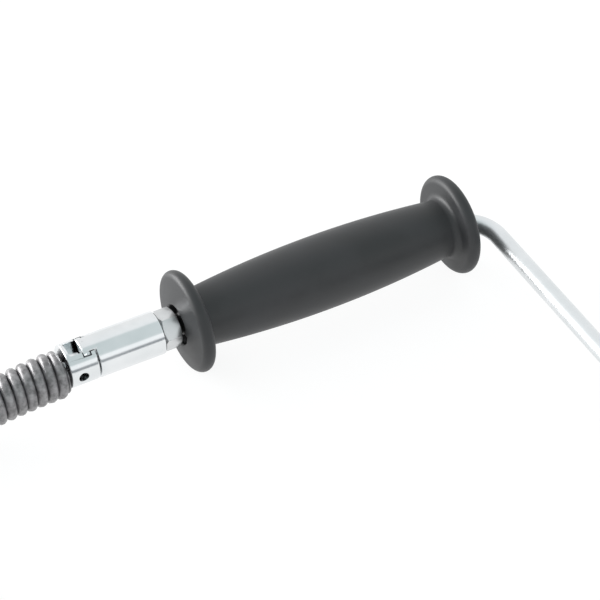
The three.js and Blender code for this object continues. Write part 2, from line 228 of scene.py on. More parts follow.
def makeSpringSteel(c):
    material, tree, shader = newMaterial("springSteel")
    shader.inputs["Metallic"].default_value = c["metal"]
    cloud = objectNoise(tree, c["cloud"], 6, rough=0.65)
    colour = tint(tree, cloud, c["dark"], c["light"], low=0.38, high=0.66)
    link(tree, colour, "Color", shader, "Base Color")
    link(tree, spread(tree, cloud, *c["rough"]), "Result", shader, "Roughness")
    pits = objectNoise(tree, c["pits"], 4)
    bump(tree, shader, pits, c["pitStrength"], c["pitDepth"])
    return material


nylonFinish = {
    "dark": (0.012, 0.012, 0.013), "light": (0.020, 0.020, 0.022), "rough": (0.38, 0.5),
    "cloud": 200,
}


def makeNylon(c):
    material, tree, shader = newMaterial("blackNylon")
    cloud = objectNoise(tree, c["cloud"], 3)
    colour = tint(tree, cloud, c["dark"], c["light"])
    link(tree, colour, "Color", shader, "Base Color")
    link(tree, spread(tree, cloud, *c["rough"]), "Result", shader, "Roughness")
    return material


gripPlastic = makeGripPlastic(gripFinish)
turnedZinc = makeZinc(zincFinish, "turnedZinc", (9, 1, 1))
rodZinc = makeZinc(drawnZinc, "rodZinc")
threadInset = 3.4  # how far into a grip the thread runs
# Paint shade on the rod's threaded ends, where they run into the grips' recesses.
paintThreadShade(
    rodZinc, recessShade, origin.x + threadInset * mm, rearHigh.x - (hubRise + threadInset) * mm,
)
nutZinc = makeZinc(dullZinc, "nutZinc")
springSteel = makeSpringSteel(wireFinish)
blackNylon = makeNylon(nylonFinish)
slotMaterials = {
    "zinc_plate": nutZinc,
    "spring_steel": springSteel,
    "grip_plastic": gripPlastic,
    "black_nylon": blackNylon,
}
for part in frame["record"]["subparts"]:
    cadPiece = frame["nodes"][part["node"]]
    for holder in cadPiece.material_slots:
        holder.material = slotMaterials[part["material_slot"]]
print("materials made")


def addPiece(name, bm, material, body="crank", smooth=35):
    # Store a finished shape, built in mm in the tool frame, as a piece that rides on a body.
    bmesh.ops.scale(bm, vec=(mm, mm, mm), verts=bm.verts)
    bmesh.ops.translate(bm, vec=origin, verts=bm.verts)
    sharp = radians(smooth)
    for face in bm.faces:
        face.smooth = True
    for edge in bm.edges:
        edge.smooth = len(edge.link_faces) != 2 or edge.calc_face_angle(0) < sharp
    mesh = bpy.data.meshes.new(name)
    bm.to_mesh(mesh)
    bm.free()
    return ridePiece(name, mesh, material, body)


def ridePiece(name, mesh, material, body):
    piece = bpy.data.objects.new(name, mesh)
    bpy.context.collection.objects.link(piece)
    mesh.materials.clear()
    mesh.materials.append(material)
    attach(piece, body)
    return piece


def tidy(bm, distance=0.001):
    bmesh.ops.remove_doubles(bm, verts=bm.verts, dist=distance)
    bmesh.ops.recalc_face_normals(bm, faces=bm.faces)
    return bm


def arcOf(x, r, radius, start, end, steps):
    turns = [radians(start + (end - start) * i / steps) for i in range(steps + 1)]
    return [(x + radius * cos(a), r + radius * sin(a)) for a in turns]


def spun(profile, sides=96, closed=False):
    # Turn (x, radius) points about the X axis.
    bm = bmesh.new()
    points = [bm.verts.new((x, r, 0)) for x, r in profile]
    ends = points[1:] + points[:1] if closed else points[1:]
    for start, end in zip(points, ends):
        bm.edges.new((start, end))
    bmesh.ops.spin(
        bm, geom=bm.verts[:] + bm.edges[:], cent=(0, 0, 0), axis=(1, 0, 0), angle=2 * pi,
        steps=sides, use_merge=True, use_normal_flip=False, use_duplicate=False, dvec=(0, 0, 0),
    )
    return tidy(bm)


def place(bm, x=0, y=0, z=0, turn=0):
    if turn:
        spin = Matrix.Rotation(radians(turn), 3, "Z")
        bmesh.ops.rotate(bm, verts=bm.verts, cent=(0, 0, 0), matrix=spin)
    bmesh.ops.translate(bm, vec=(x, y, z), verts=bm.verts)
    return bm


def lineThrough(points, step):
    # A smooth curve through points, with a point every step along it.
    ends = [points[0] * 2 - points[1], *points, points[-1] * 2 - points[-2]]
    fine = []
    for a, b, c, d in zip(ends, ends[1:], ends[2:], ends[3:]):
        for i in range(24):
            t = i / 24
            fine.append(
                0.5 * (2 * b + (c - a) * t + (2 * a - 5 * b + 4 * c - d) * t * t
                       + (3 * b - a - 3 * c + d) * t**3)
            )
    fine.append(points[-1])
    return evenly(fine, step)


def evenly(line, step):
    places = [0.0]
    for a, b in zip(line, line[1:]):
        places.append(places[-1] + (b - a).length)
    count = max(round(places[-1] / step), 1)
    out, i = [], 0
    for k in range(count + 1):
        s = places[-1] * k / count
        while i < len(line) - 2 and places[i + 1] < s:
            i += 1
        share = (s - places[i]) / max(places[i + 1] - places[i], 1e-9)
        out.append(line[i].lerp(line[i + 1], min(share, 1)))
    return out


def wireMesh(name, points, radius, sides, taper=0, thin=1):
    # A round wire through points, in metres, with closed ends.
    curve = bpy.data.curves.new(name, "CURVE")
    curve.dimensions = "3D"
    curve.bevel_depth = radius
    curve.bevel_resolution = sides // 2 - 2
    curve.use_fill_caps = True
    curve.twist_mode = "MINIMUM"
    spline = curve.splines.new("POLY")
    spline.points.add(len(points) - 1)
    flat = [value for point in points for value in (*point, 1)]
    spline.points.foreach_set("co", flat)
    for i in range(taper):
        spline.points[i].radius = thin + (1 - thin) * i / taper
    holder = bpy.data.objects.new(name, curve)
    bpy.context.collection.objects.link(holder)
    seen = holder.evaluated_get(bpy.context.evaluated_depsgraph_get())
    mesh = bpy.data.meshes.new_from_object(seen)
    bpy.data.objects.remove(holder)
    mesh.name = name
    bm = bmesh.new()
    bm.from_mesh(mesh)
    bmesh.ops.remove_doubles(bm, verts=bm.verts, dist=1e-6)
    bmesh.ops.recalc_face_normals(bm, faces=bm.faces)
    for face in bm.faces:
        face.smooth = len(face.verts) == 4
    bm.to_mesh(mesh)
    bm.free()
    return mesh


# The spiral, one wound wire that rides on the crank.
spiralSet = {
    "outer": 16.6,
    "wire": 3.84,
    "groundEnd": 0.14,
    "pitch": 3.85,
    "hand": -1,
    "start": -45,
    "flare": 0.6,
    "flareTurns": 7,
    "length": 2.3,
    "coilCentre": (-222, -68),
    "coilRadius": 94,
    "strandPitch": 16.9,
    "fullTurns": 3,
    # From where to where, in degrees, the coil climbs, moves inward and comes down again.
    "climb": (300, 360),
    "inward": (585, 660),
    "descend": (890, 945),
    "coilMiddle": 18.4,
    "tailBend": 50,
    "lastTurn": 130,
    "step": 0.002,
    "sides": 12,
    "turnsFine": 16,
    "fine": 26,
    "coarse": 12,
}
# Its way from the coupling to the coil, then from the coil's inner turn to the free end.
runPoints = [
    (-0.0457, 0, 0.0166), (-0.049, 0, 0.0165), (-0.053, 0, 0.0163), (-0.058, 0, 0.0159),
    (-0.064, 0, 0.0153), (-0.070, 0, 0.0145), (-0.078, 0.0001, 0.0132), (-0.087, 0.0006, 0.0117),
    (-0.097, 0.0019, 0.0103), (-0.107, 0.0040, 0.0093), (-0.118, 0.0069, 0.0087),
    (-0.125, 0.0091, 0.0085), (-0.132, 0.0113, 0.0085), (-0.143, 0.0151, 0.0085),
    (-0.156, 0.0197, 0.0085), (-0.169, 0.0241, 0.0086), (-0.183, 0.0284, 0.0088),
    (-0.198, 0.03195, 0.0092), (-0.210, 0.0338, 0.0097), (-0.222, 0.03445, 0.00995),
]
tailEnd = (-0.20945, -0.1227, 0.00995)


def ease(value, start, end):
    t = min(max((value - start) / (end - start), 0), 1)
    return t * t * (3 - 2 * t)


def coilPoint(c, angle):
    # A point of the wound spiral, at an angle in degrees from where the run joins the coil.
    outward = 1 - 2 * ease(angle, *c["inward"])
    upward = 2 * ease(angle, *c["climb"]) - 1 - 2 * ease(angle, *c["descend"])
    radius = c["coilRadius"] + outward * c["strandPitch"] / 2
    turn = radians(90 + angle)
    x = c["coilCentre"][0] + radius * cos(turn)
    y = c["coilCentre"][1] + radius * sin(turn)
    return Vector((x, y, c["coilMiddle"] + upward * c["strandPitch"] / 2)) * mm


def spiralRoute(c):
    run = lineThrough([Vector(point) for point in runPoints], c["step"])
    leaves = 360 * c["fullTurns"] + c["lastTurn"]
    coil = [coilPoint(c, angle) for angle in range(1, leaves)]
    outOf = radians(90 + leaves)
    outward = Vector((cos(outOf), sin(outOf), 0))
    ahead = Vector((-sin(outOf), cos(outOf), 0))
    inner = c["coilRadius"] - c["strandPitch"] / 2
    middle = Vector((*c["coilCentre"], c["coilMiddle"] - c["strandPitch"] / 2))
    middle += outward * (inner - c["tailBend"])
    bend = []
    for angle in range(0, 91, 2):
        way = outward * cos(radians(angle)) + ahead * sin(radians(angle))
        bend.append((middle + way * c["tailBend"]) * mm)
    whole = run + coil + bend + [Vector(tailEnd)]
    return [origin + point for point in evenly(whole, c["step"])]


def woundWire(route, c):
    # The helix of the wire round a route, finer in its first turns.
    places = [0.0]
    for a, b in zip(route, route[1:]):
        places.append(places[-1] + (b - a).length)
    # The first turn lies flat against the coupling, its wire ground down to nothing much.
    thin = c["wire"] / 2 * c["groundEnd"]
    firstTurn = 2 * thin + c["wire"] / 2
    turns = (places[-1] / mm - firstTurn) / c["pitch"] + 1
    angles, turn = [], 0.0
    while turn < turns:
        angles.append(turn)
        turn += 1 / (c["fine"] if turn < c["turnsFine"] else c["coarse"])
    angles.append(turns)
    points, i = [], 0
    for turn in angles:
        s = firstTurn + (turn - 1) * c["pitch"] if turn > 1 else thin + (firstTurn - thin) * turn
        s *= mm
        while i < len(route) - 2 and places[i + 1] < s:
            i += 1
        share = min((s - places[i]) / (places[i + 1] - places[i]), 1)
        centre = route[i].lerp(route[i + 1], share)
        ahead = (route[min(i + 2, len(route) - 1)] - route[max(i - 1, 0)]).normalized()
        up = (Vector((0, 0, 1)) - ahead * ahead.z).normalized()
        side = ahead.cross(up)
        flare = c["flare"] * max(1 - turn / c["flareTurns"], 0)
        radius = ((c["outer"] - c["wire"]) / 2 + flare) * mm
        around = 2 * pi * turn * c["hand"] + radians(c["start"])
        points.append(centre + radius * (cos(around) * up + sin(around) * side))
    return points


route = spiralRoute(spiralSet)
wire = woundWire(route, spiralSet)
wireRadius = spiralSet["wire"] / 2 * mm
spiralMesh = wireMesh(
    "drainSpiral", wire, wireRadius, spiralSet["sides"], spiralSet["fine"], spiralSet["groundEnd"],
)
drainSpiral = ridePiece("drainSpiral", spiralMesh, springSteel, "crank")
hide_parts("spiral_run", "spiral_coil", "spiral_tail")
length = sum((b - a).length for a, b in zip(route, route[1:]))
print("spiral laid,", round(length, 3), "m,", len(wire), "points")


# Shapes along X, in mm, for turning, joining and cutting.
def bar(radius, low, high, sides=96):
    bm = bmesh.new()
    lie = Matrix.Translation(((low + high) / 2, 0, 0)) @ Matrix.Rotation(radians(90), 4, "Y")
    bmesh.ops.create_cone(
        bm, cap_ends=True, segments=sides, radius1=radius, radius2=radius, depth=high - low,
        matrix=lie,
    )
    return bm


def block(low, high):
    bm = bmesh.new()
    bmesh.ops.create_cube(bm, size=1)
    bmesh.ops.scale(bm, vec=[b - a for a, b in zip(low, high)], verts=bm.verts)
    bmesh.ops.translate(bm, vec=[(a + b) / 2 for a, b in zip(low, high)], verts=bm.verts)
    return bm


def vertsOf(items):
    return [item for item in items if isinstance(item, bmesh.types.BMVert)]


def edgesOf(items):
    return [item for item in items if isinstance(item, bmesh.types.BMEdge)]


def tongue(halfWidth, top, low, high):
    # A slab from low to high, round at the bottom and straight-sided up to top.
    bm = bmesh.new()
    stand = Matrix.Rotation(radians(90), 4, "Y")
    bmesh.ops.create_circle(bm, cap_ends=True, radius=halfWidth, segments=64, matrix=stand)
    everything = bm.verts[:] + bm.edges[:] + bm.faces[:]
    bmesh.ops.bisect_plane(
        bm, geom=everything, plane_co=(0, 0, 0), plane_no=(0, 0, 1), clear_outer=True, dist=1e-4,
    )
    rim = [edge for edge in bm.edges if all(abs(v.co.z) < 1e-3 for v in edge.verts)]
    raised = vertsOf(bmesh.ops.extrude_edge_only(bm, edges=rim)["geom"])
    bmesh.ops.translate(bm, vec=(0, 0, top), verts=raised)
    bmesh.ops.translate(bm, vec=(low, 0, 0), verts=bm.verts)
    far = vertsOf(bmesh.ops.extrude_face_region(bm, geom=bm.faces[:])["geom"])
    bmesh.ops.translate(bm, vec=(high - low, 0, 0), verts=far)
    return tidy(bm)


def standIn(bm):
    mesh = bpy.data.meshes.new("blank")
    bm.to_mesh(mesh)
    bm.free()
    blank = bpy.data.objects.new("blank", mesh)
    bpy.context.collection.objects.link(blank)
    return blank


def carve(base, tools, operation="DIFFERENCE"):
    blank = standIn(base)
    cutters = [standIn(tool) for tool in tools]
    for cutter in cutters:
        step = blank.modifiers.new("carve", "BOOLEAN")
        step.operation = operation
        step.solver = "EXACT"
        step.object = cutter
    seen = blank.evaluated_get(bpy.context.evaluated_depsgraph_get())
    bm = bmesh.new()
    bm.from_mesh(seen.data)
    for used in [blank, *cutters]:
        mesh = used.data
        bpy.data.objects.remove(used)
        bpy.data.meshes.remove(mesh)
    return tidy(bm, 0.002)


def soften(bm, width, angle=32, segments=2):
    bmesh.ops.dissolve_degenerate(bm, dist=0.01, edges=bm.edges)
    flat = radians(0.6)
    bmesh.ops.dissolve_limit(bm, angle_limit=flat, verts=bm.verts, edges=bm.edges)
    sharp = []
    for edge in bm.edges:
        if len(edge.link_faces) == 2 and edge.calc_face_angle(0) > radians(angle):
            sharp.append(edge)
    bmesh.ops.bevel(
        bm, geom=sharp, offset=width, offset_type="OFFSET", segments=segments, profile=0.5,
        affect="EDGES", clamp_overlap=False, material=-1,
    )
    return tidy(bm, 0.004)


# Grips, turned whole and hollow.
gripSet = {
    "flange": 19, "flangeThickness": 5.1, "neck": 10.9, "belly": 13.7, "fillet": 2.5,
    "recess": 7.4, "recessDepth": 3.2, "recessEdge": 0.8, "bore": 4.4, "sides": 144,
}


def gripShape(c):
    rim = c["flangeThickness"] / 2
    rimR = c["flange"] - rim
    filletX = c["flangeThickness"] + c["fillet"]
    filletR = c["neck"] + c["fillet"]
    half = gripLength / 2
    edge = c["recessEdge"]
    rise = c["belly"] - c["neck"]
    belly = []
    for i in range(1, 32):
        u = i / 16 - 1
        belly.append((half + u * (half - filletX), c["neck"] + rise * (1 - u * u)))
    deep = c["recessDepth"]
    profile = [
        *arcOf(rim, rimR, rim, 180, 0, 24),
        *arcOf(filletX, filletR, c["fillet"], 180, 270, 8),
        *belly,
        *arcOf(gripLength - filletX, filletR, c["fillet"], 270, 360, 8),
        *arcOf(gripLength - rim, rimR, rim, 180, 0, 24),
        *arcOf(gripLength + hubRise - edge, c["recess"] + edge, edge, 0, -90, 6),
        (gripLength - deep, c["recess"]), (gripLength - deep, c["bore"]),
        (deep, c["bore"]), (deep, c["recess"]),
        *arcOf(edge - hubRise, c["recess"] + edge, edge, -90, -180, 6),
    ]
    return spun(profile, c["sides"], closed=True)


rearGripX = toolX("rear_grip", 0) + hubRise
frontGrip = place(gripShape(gripSet), 0, 0, axisHeight)
frontGrip = addPiece("frontGrip", frontGrip, gripPlastic, "front_grip", 40)
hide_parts("front_grip")
rearGrip = place(gripShape(gripSet), rearGripX, rearAxisY, axisHeight)
rearGrip = addPiece("rearGrip", rearGrip, gripPlastic, "rear_grip", 40)
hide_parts("rear_grip")
print("grips turned")

# The crank: one rod drawn on and bent, with a thread cut at each end.
crankSet = {
    "rod": 3.45, "thread": 4, "chamfer": 0.7, "bend": 14, "inset": 4, "sides": 56,
    "pitch": 1.25, "grooveRoot": 3.32, "grooveHalf": 0.56, "shoulder": 0.3, "recess": 3.2,
}


def onward(bm, loop, move, size=1):
    # Draw an open end on by a move, and bring it to a new size.
    made = bmesh.ops.extrude_edge_only(bm, edges=loop)["geom"]
    ends = vertsOf(made)
    bmesh.ops.translate(bm, vec=move, verts=ends)
    if size != 1:
        middle = sum((v.co for v in ends), Vector()) / len(ends)
        about = Matrix.Translation(-middle)
        bmesh.ops.scale(bm, vec=(size, size, size), space=about, verts=ends)
    return [edge for edge in edgesOf(made) if all(v in ends for v in edge.verts)]


def bendRod(bm, loop, middle, angle, steps=24):
    ends = list({v for edge in loop for v in edge.verts})
    made = bmesh.ops.spin(
        bm, geom=ends + loop, cent=middle, axis=(0, 0, 1), angle=radians(angle), steps=steps,
        use_merge=False, use_normal_flip=False, use_duplicate=False, dvec=(0, 0, 0),
    )
    return edgesOf(made["geom_last"])


def threadGroove(c, low, high):
    bm = bmesh.new()
    turns = (high - low) / c["pitch"]
    steps = round(turns * 32)
    corners = [
        bm.verts.new((low - c["grooveHalf"], c["thread"] + 0.1, 0)),
        bm.verts.new((low + c["grooveHalf"], c["thread"] + 0.1, 0)),
        bm.verts.new((low, c["grooveRoot"], 0)),
    ]
    for start, end in zip(corners, corners[1:] + corners[:1]):
        bm.edges.new((start, end))
    bmesh.ops.spin(
        bm, geom=bm.verts[:] + bm.edges[:], cent=(0, 0, 0), axis=(1, 0, 0),
        angle=2 * pi * turns, steps=steps, dvec=((high - low) / steps, 0, 0),
        use_merge=False, use_normal_flip=False, use_duplicate=False,
    )
    bmesh.ops.holes_fill(bm, edges=bm.edges, sides=3)
    return tidy(bm)


def crankShape(c):
    front, rear = toolX("crank_rod", 0), toolX("crank_rod", 1)
    shoulder = c["shoulder"]
    small = (c["thread"] - c["chamfer"]) / c["thread"]
    narrow = c["rod"] / c["thread"]
    bend = c["bend"]
    firstBend = gripLength - c["inset"]
    rearThread = rearGripX + gripLength - c["recess"]
    bm = bmesh.new()
    stand = Matrix.Translation((front, 0, 0)) @ Matrix.Rotation(radians(90), 4, "Y")
    bmesh.ops.create_circle(
        bm, cap_ends=True, radius=c["thread"] * small, segments=c["sides"], matrix=stand,
    )
    loop = onward(bm, bm.edges[:], (c["chamfer"], 0, 0), 1 / small)
    loop = onward(bm, loop, (c["recess"] - shoulder - front - c["chamfer"], 0, 0))
    loop = onward(bm, loop, (shoulder, 0, 0), narrow)
    loop = onward(bm, loop, (firstBend - c["recess"], 0, 0))
    loop = bendRod(bm, loop, (firstBend, -bend, 0), -90)
    loop = onward(bm, loop, (0, rearAxisY + 2 * bend, 0))
    loop = bendRod(bm, loop, (firstBend + 2 * bend, rearAxisY + bend, 0), 90)
    loop = onward(bm, loop, (rearThread - firstBend - 2 * bend, 0, 0))
    loop = onward(bm, loop, (shoulder, 0, 0), 1 / narrow)
    loop = onward(bm, loop, (rear - c["chamfer"] - rearThread - shoulder, 0, 0))
    loop = onward(bm, loop, (c["chamfer"], 0, 0), small)
    bmesh.ops.contextual_create(bm, geom=loop)
    frontGroove = threadGroove(c, -4.2, c["recess"] - 1)
    rearGroove = place(threadGroove(c, rearThread + 1.2, rear + 1.2), 0, rearAxisY, 0)
    return carve(tidy(bm), [frontGroove, rearGroove])


crankRod = place(crankShape(crankSet), 0, 0, axisHeight)
crankRod = addPiece("crankRod", crankRod, rodZinc, smooth=30)
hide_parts("crank_rod")
print("crank bent")

# Nuts, washers and rings.
nutSet = {
    "flats": 13, "chamfer": 1.0, "corner": 108, "bore": 4.3, "edge": 0.12,
    "collar": 6, "hex": 6, "pocket": 5.5, "insert": 1.4, "gap": 0.3,
}
ringSet = {"sides": 96, "edge": 0.25, "onThread": 4.3, "onRod": 3.75}


def hexBlank(c, low, high, front=True, back=True):
    corner = c["flats"] / sqrt(3)
    face = corner - c["chamfer"]
    slope = c["chamfer"] * tan(radians(30))
    nose = [(low, face), (low + slope, corner + 0.02)] if front else [(low, corner + 1)]
    tail = [(high - slope, corner + 0.02), (high, face)] if back else [(high, corner + 1)]
    limit = spun([(low, 0), *nose, *tail, (high, 0)], 144)
    hexBar = bar(corner, low - 1, high + 1, 6)
    # A bar's first corner is on +Y, and the nut's stands "corner" degrees from there towards +Z.
    turn = Matrix.Rotation(radians(c["corner"]), 3, "X")
    bmesh.ops.rotate(hexBar, verts=hexBar.verts, cent=(0, 0, 0), matrix=turn)
    return carve(hexBar, [limit], "INTERSECT")


def chamferedBore(radius, low, high, edge=0.5):
    return spun([
        (low - 0.5, 0), (low - 0.5, radius + edge + 0.5), (low + edge, radius),
        (high - edge, radius), (high + 0.5, radius + edge + 0.5), (high + 0.5, 0),
    ], 72)


def ringShape(c, low, high, inner, outer):
    e = c["edge"]
    return spun([
        (low, inner), (low, outer - e), (low + e, outer), (high - e, outer), (high, outer - e),
        (high, inner),
    ], c["sides"], closed=True)


def addRing(node, name, inner, material, y=0):
    low, high = toolX(node, 0), toolX(node, 1)
    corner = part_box(node)
    outer = (corner[1][2] - corner[0][2]) / 2 / mm
    ring = place(ringShape(ringSet, low, high, inner, outer), 0, y, axisHeight)
    ring = addPiece(name, ring, material, smooth=30)
    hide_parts(node)


nutLow, nutHigh = toolX("lock_nut", 0), toolX("lock_nut", 1)
lockNut = carve(hexBlank(nutSet, nutLow, nutHigh), [chamferedBore(nutSet["bore"], nutLow, nutHigh)])
lockNut = place(soften(lockNut, nutSet["edge"]), 0, 0, axisHeight)
lockNut = addPiece("lockNut", lockNut, nutZinc, smooth=18)
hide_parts("lock_nut")

rearNutLow, rearNutHigh = toolX("rear_nut", 0), toolX("rear_nut", 1)
collarStart = rearNutLow + nutSet["hex"]
rearNut = hexBlank(nutSet, rearNutLow, collarStart, back=False)
collar = spun([
    (collarStart - 1, 0), (collarStart - 1, nutSet["collar"]),
    *arcOf(rearNutHigh - 0.8, nutSet["collar"] - 0.8, 0.8, 90, 0, 6), (rearNutHigh, 0),
], 96)
rearNut = carve(rearNut, [collar], "UNION")
pocketStart = rearNutHigh - nutSet["insert"] - nutSet["gap"]
insertPocket = bar(nutSet["pocket"], pocketStart, rearNutHigh + 2)
rearNut = carve(rearNut, [chamferedBore(nutSet["bore"], rearNutLow, rearNutHigh + 4), insertPocket])
rearNut = place(soften(rearNut, nutSet["edge"]), 0, rearAxisY, axisHeight)
rearNut = addPiece("rearNut", rearNut, nutZinc, smooth=18)
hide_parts("rear_nut")

addRing("front_washer", "frontWasher", ringSet["onThread"], blackNylon)
addRing("rear_washer", "rearWasher", ringSet["onThread"], blackNylon, rearAxisY)
addRing("front_stop_ring", "frontStopRing", ringSet["onRod"], nutZinc)
addRing("rear_stop_ring", "rearStopRing", ringSet["onRod"], nutZinc, rearAxisY)
addRing(
    "rear_nut_insert", "rearNutInsert", ringSet["onThread"], blackNylon, rearAxisY,
)
print("nuts, washers and rings made")

# T-slot couplings, each drawn with its parting plane at x = 0 and its slot opening upward.
couplingSet = {
    "radius": 8, "body": 25.15, "chamfer": 0.5, "gap": 0.25, "clearance": 0.3, "edge": 0.1,
    "neck": 2.4, "neckHalf": 3.6, "head": 2.5, "headHalf": 4.7, "headEdge": 0.4,
    "socket": 10.6, "shank": 1.7, "shankLength": 3, "hole": 1.85, "holeInset": 1.9,
    "pocketHalf": 3.3, "pocketFloor": 4.3, "pocketRamp": 0.35, "pocketWall": 1.4,
    "pocketCorner": 0.7, "plungerBore": 2.85, "plungerSocket": 3.6, "chamber": 3.55,
    "chamberStart": 1.05, "threadBore": 4.3,
}
headFront = couplingSet["gap"] - couplingSet["neck"] - couplingSet["head"]
headBack = couplingSet["gap"] - couplingSet["neck"]


def roundBody(c, low, high):
    r, e = c["radius"], c["chamfer"]
    return spun([
        (low, 0), (low, r - e), (low + e * 0.35, r - e * 0.25), (low + e, r),
        (high - e, r), (high - e * 0.35, r - e * 0.25), (high, r - e), (high, 0),
    ], 128)


def maleCoupling(c, length, chamberEnd):
    front = c["gap"]
    rear = front + length
    neck = carve(tongue(c["neckHalf"], 12, headBack - 0.5, front + 1),
                 [bar(c["radius"] - 0.05, -20, 20, 128)], "INTERSECT")
    head = carve(tongue(c["headHalf"], 12, headFront, headBack),
                 [bar(c["radius"] - 0.05, -20, 20, 128)], "INTERSECT")
    head = soften(head, c["headEdge"], segments=3)
    body = carve(roundBody(c, front, rear), [neck, head], "UNION")
    bores = [
        bar(c["plungerBore"], headFront - 1, c["chamberStart"] + 1, 64),
        bar(c["chamber"], c["chamberStart"], chamberEnd + 1, 64),
        bar(c["threadBore"], chamberEnd - 0.3, rear + 1, 64),
    ]
    return soften(carve(body, bores), c["edge"])


def femaleCoupling(c):
    front = -c["gap"]
    rear = front - c["socket"]
    slotRear = headFront - c["clearance"]
    shank = bar(c["shank"], rear - c["shankLength"], rear + 1, 48)
    body = carve(roundBody(c, rear, front), [shank], "UNION")
    pocket = block((rear + c["pocketWall"], -c["pocketHalf"], c["pocketFloor"]),
                   (slotRear + 1, c["pocketHalf"], 14))
    for vert in pocket.verts:
        if vert.co.z < 10:
            vert.co.z += c["pocketRamp"] if vert.co.x < slotRear else -c["pocketRamp"]
    ends = [edge for edge in pocket.edges if abs(edge.verts[0].co.z - edge.verts[1].co.z) > 1
            and edge.verts[0].co.x < slotRear]
    bmesh.ops.bevel(pocket, geom=ends, offset=c["pocketCorner"], offset_type="OFFSET", segments=5,
                    profile=0.5, affect="EDGES", clamp_overlap=True, material=-1)
    releaseHole = bar(c["hole"], 0, 12, 48)
    sideways = Matrix.Rotation(radians(-90), 3, "Z")
    bmesh.ops.rotate(releaseHole, verts=releaseHole.verts, cent=(0, 0, 0), matrix=sideways)
    place(releaseHole, headFront - c["holeInset"], 0, 0)
    cuts = [
        tongue(c["neckHalf"] + c["clearance"], 14, headBack, front + 1),
        tongue(c["headHalf"] + c["clearance"], 14, slotRear, headBack + c["clearance"]),
        bar(c["plungerBore"], headFront - c["plungerSocket"], slotRear + 1, 64),
        pocket, releaseHole,
    ]
    return soften(carve(body, cuts), c["edge"])


plungerSet = {"radius": 2.5, "tip": 1.0, "tipLength": 1.8, "reach": 3, "shoulder": 3.2, "long": 3}


def plungerShape(c):
    tip = headFront - c["reach"]
    step = couplingSet["chamberStart"] + 0.3
    return spun([
        (tip, 0), (tip, c["tip"] - 0.2), (tip + 0.15, c["tip"]),
        (tip + c["tipLength"], c["radius"]),
        (step, c["radius"]), (step, c["shoulder"] - 0.2), (step + 0.2, c["shoulder"]),
        (step + c["long"], c["shoulder"]), (step + c["long"], 0),
    ], 64)


partingX = toolX("spiral_socket", 1) + couplingSet["gap"]
driveAt = (partingX, 0, axisHeight)
chamberEnd = toolX("crank_rod", 0) - partingX
driveCoupling = place(maleCoupling(couplingSet, couplingSet["body"], chamberEnd), *driveAt)
driveCoupling = addPiece("driveCoupling", driveCoupling, turnedZinc, smooth=18)
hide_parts("drive_coupling")
spiralSocket = place(femaleCoupling(couplingSet), *driveAt)
spiralSocket = addPiece("spiralSocket", spiralSocket, turnedZinc, smooth=18)
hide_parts("spiral_socket")
drivePlunger = place(plungerShape(plungerSet), *driveAt)
drivePlunger = addPiece(
    "driveLockPlunger", drivePlunger, nutZinc, "drive_plunger", 25,
)
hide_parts("drive_lock_plunger")
print("drive coupling cut")

# The free end: the same coupling on the other end of the spiral, with the auger in it.
tailSet = {"heading": 40, "body": 17.5, "chamberEnd": 10.5, "set": 18.05}
tailWay = Vector((cos(radians(tailSet["heading"])), sin(radians(tailSet["heading"])), 0))
tailAt = Vector(tailEnd) / mm + tailWay * tailSet["set"]


def onTail(bm):
    return place(bm, *tailAt, turn=tailSet["heading"] + 180)


tailCoupling = onTail(maleCoupling(couplingSet, tailSet["body"], tailSet["chamberEnd"]))
tailCoupling = addPiece("tailCoupling", tailCoupling, nutZinc, smooth=18)
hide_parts("tail_coupling")
augerSocket = onTail(femaleCoupling(couplingSet))
augerSocket = addPiece("augerSocket", augerSocket, nutZinc, smooth=18)
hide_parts("auger_socket")
tailPlunger = onTail(plungerShape(plungerSet))
tailPlunger = addPiece("tailLockPlunger", tailPlunger, nutZinc, "tail_plunger", 25)
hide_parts("tail_lock_plunger")
tailRear = couplingSet["gap"] + tailSet["body"]
shankStart = tailSet["chamberEnd"]
shankEnd = tailRear + couplingSet["shankLength"]
tailShank = spun([
    (shankStart, 0), (shankStart, crankSet["thread"] - 0.4), (shankStart + 0.4, crankSet["thread"]),
    (tailRear - 0.7, crankSet["thread"]), (tailRear - 0.3, crankSet["thread"] - 0.4),
    (tailRear - 0.3, couplingSet["shank"]), (shankEnd - 0.4, couplingSet["shank"]),
    (shankEnd, couplingSet["shank"] - 0.4), (shankEnd, 0),
], 64)
tailShank = addPiece("tailShank", onTail(tailShank), nutZinc, smooth=25)
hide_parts("tail_shank")

augerSet = {"length": 46, "wire": 3.4, "base": 8, "belly": 9.6, "tip": 4.5, "turns": 9.5}


def augerWire(c):
    front = -couplingSet["gap"] - couplingSet["socket"] - 0.3 - c["wire"] / 2
    length = c["length"] - c["wire"]
    steps = round(c["turns"] * 32)
    points = []
    for i in range(steps + 1):
        u = i / steps
        line = c["base"] * (1 - u) + c["tip"] * u
        outer = line + (c["belly"] - line) * sin(pi * u)
        turn = 2 * pi * c["turns"] * (u + 0.05 * sin(2 * pi * u))
        r = outer - c["wire"] / 2
        points.append(Vector((front - length * u, r * cos(turn), r * sin(turn))))
    swing = Matrix.Rotation(radians(tailSet["heading"] + 180), 3, "Z")
    return [origin + (swing @ point + tailAt) * mm for point in points]


augerMesh = wireMesh("auger", augerWire(augerSet), augerSet["wire"] / 2 * mm, 14)
auger = ridePiece("auger", augerMesh, springSteel, "crank")
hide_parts("auger")
print("free end made")

# Ties round the coil: a strap drawn round the bundle, its head and its trimmed tail.
tieSet = {
    "angles": (10, 110, 200, 300), "half": 17.15, "corner": 8, "thick": 1.2, "wide": 4.8,
    "head": (5, 7, 6), "tailLength": 4.5, "edge": 0.35,
}


